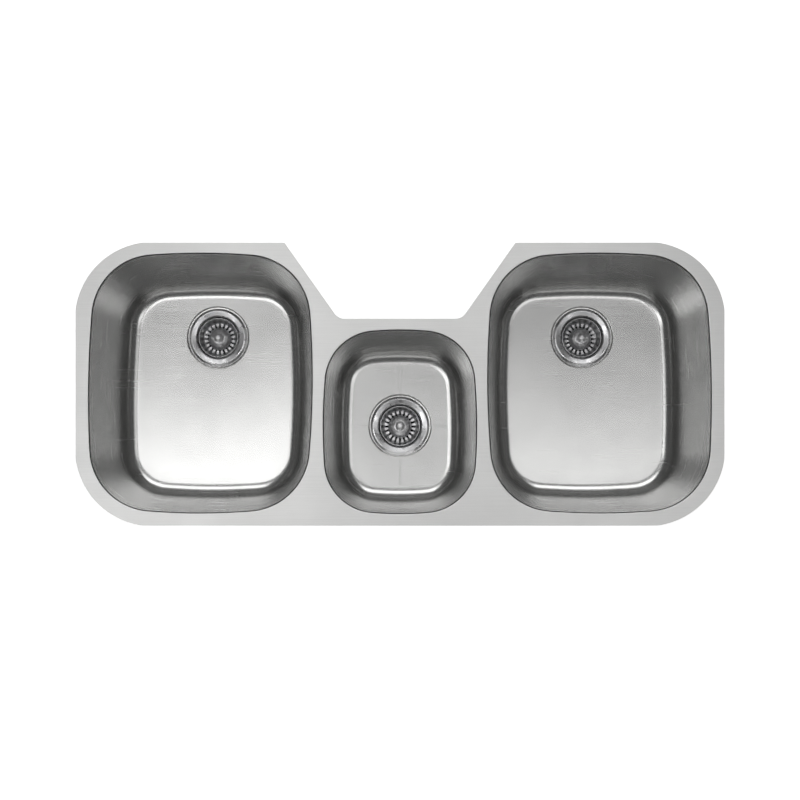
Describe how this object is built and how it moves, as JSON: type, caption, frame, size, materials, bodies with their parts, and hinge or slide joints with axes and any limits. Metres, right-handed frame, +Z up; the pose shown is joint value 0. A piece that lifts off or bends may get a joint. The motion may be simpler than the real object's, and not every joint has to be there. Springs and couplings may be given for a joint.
{
  "type": "undermount kitchen sink",
  "caption": "Stainless steel undermount sink with two large bowls, a smaller bowl set between them behind a tap notch, and a basket strainer in each drain.",
  "frame": {"origin": "middle of the deck's rectangle, on its upper face, inside the middle bowl's mouth", "axes": "+X along the deck, +Y to the back where the notch is, +Z up out of the bowls"},
  "size_m": [1.168, 0.5096, 0.307],
  "materials": {
    "deck_steel": "satin, brushed along the length",
    "bowl_steel": "satin, brushed",
    "strainer_steel": "polished stainless steel",
    "pad_rubber": "matt",
    "black_rubber": "matt",
    "putty": "matt plumber's putty",
    "fibre_card": "matt pressed card",
    "zinc": "plain die-cast zinc",
    "white_plastic": "matt"
  },
  "bodies": {
    "sink": {"deck": "deck_steel", "left_bowl": "bowl_steel", "left_floor_pad": "pad_rubber", "left_side_pad": "pad_rubber", "left_strainer_body": "strainer_steel", "left_crossbar": "strainer_steel", "left_seal_ring": "putty", "left_under_washer": "black_rubber", "left_friction_ring": "fibre_card", "left_locknut": "zinc", "left_tail_washer": "white_plastic", "left_coupling_nut": "zinc", "middle_bowl": "bowl_steel", "middle_floor_pad": "pad_rubber", "middle_strainer_body": "strainer_steel", "middle_crossbar": "strainer_steel", "middle_seal_ring": "putty", "middle_under_washer": "black_rubber", "middle_friction_ring": "fibre_card", "middle_locknut": "zinc", "middle_tail_washer": "white_plastic", "middle_coupling_nut": "zinc", "right_bowl": "bowl_steel", "right_floor_pad": "pad_rubber", "right_side_pad": "pad_rubber", "right_strainer_body": "strainer_steel", "right_crossbar": "strainer_steel", "right_seal_ring": "putty", "right_under_washer": "black_rubber", "right_friction_ring": "fibre_card", "right_locknut": "zinc", "right_tail_washer": "white_plastic", "right_coupling_nut": "zinc"},
    "left_plug": {"left_stopper": "black_rubber"},
    "left_strainer": {"left_basket": "strainer_steel", "left_post": "strainer_steel", "left_stem_clip": "strainer_steel"},
    "middle_plug": {"middle_stopper": "black_rubber"},
    "middle_strainer": {"middle_basket": "strainer_steel", "middle_post": "strainer_steel", "middle_stem_clip": "strainer_steel"},
    "right_plug": {"right_stopper": "black_rubber"},
    "right_strainer": {"right_basket": "strainer_steel", "right_post": "strainer_steel", "right_stem_clip": "strainer_steel"}
  },
  "joints": [
    {"name": "left_strainer_lift", "type": "slide", "parent": "sink", "child": "left_plug", "axis": [0, 0, 1], "range_m": [0, 0.3]},
    {"name": "left_strainer_turn", "type": "hinge", "parent": "left_plug", "child": "left_strainer", "pos_m": [-0.3534, 0.1059, -0.233], "axis": [0, 0, 1], "continuous": true},
    {"name": "middle_strainer_lift", "type": "slide", "parent": "sink", "child": "middle_plug", "axis": [0, 0, 1], "range_m": [0, 0.25]},
    {"name": "middle_strainer_turn", "type": "hinge", "parent": "middle_plug", "child": "middle_strainer", "pos_m": [0, -0.0679, -0.182], "axis": [0, 0, 1], "continuous": true},
    {"name": "right_strainer_lift", "type": "slide", "parent": "sink", "child": "right_plug", "axis": [0, 0, 1], "range_m": [0, 0.3]},
    {"name": "right_strainer_turn", "type": "hinge", "parent": "right_plug", "child": "right_strainer", "pos_m": [0.3534, 0.1059, -0.233], "axis": [0, 0, 1], "continuous": true}
  ]
}
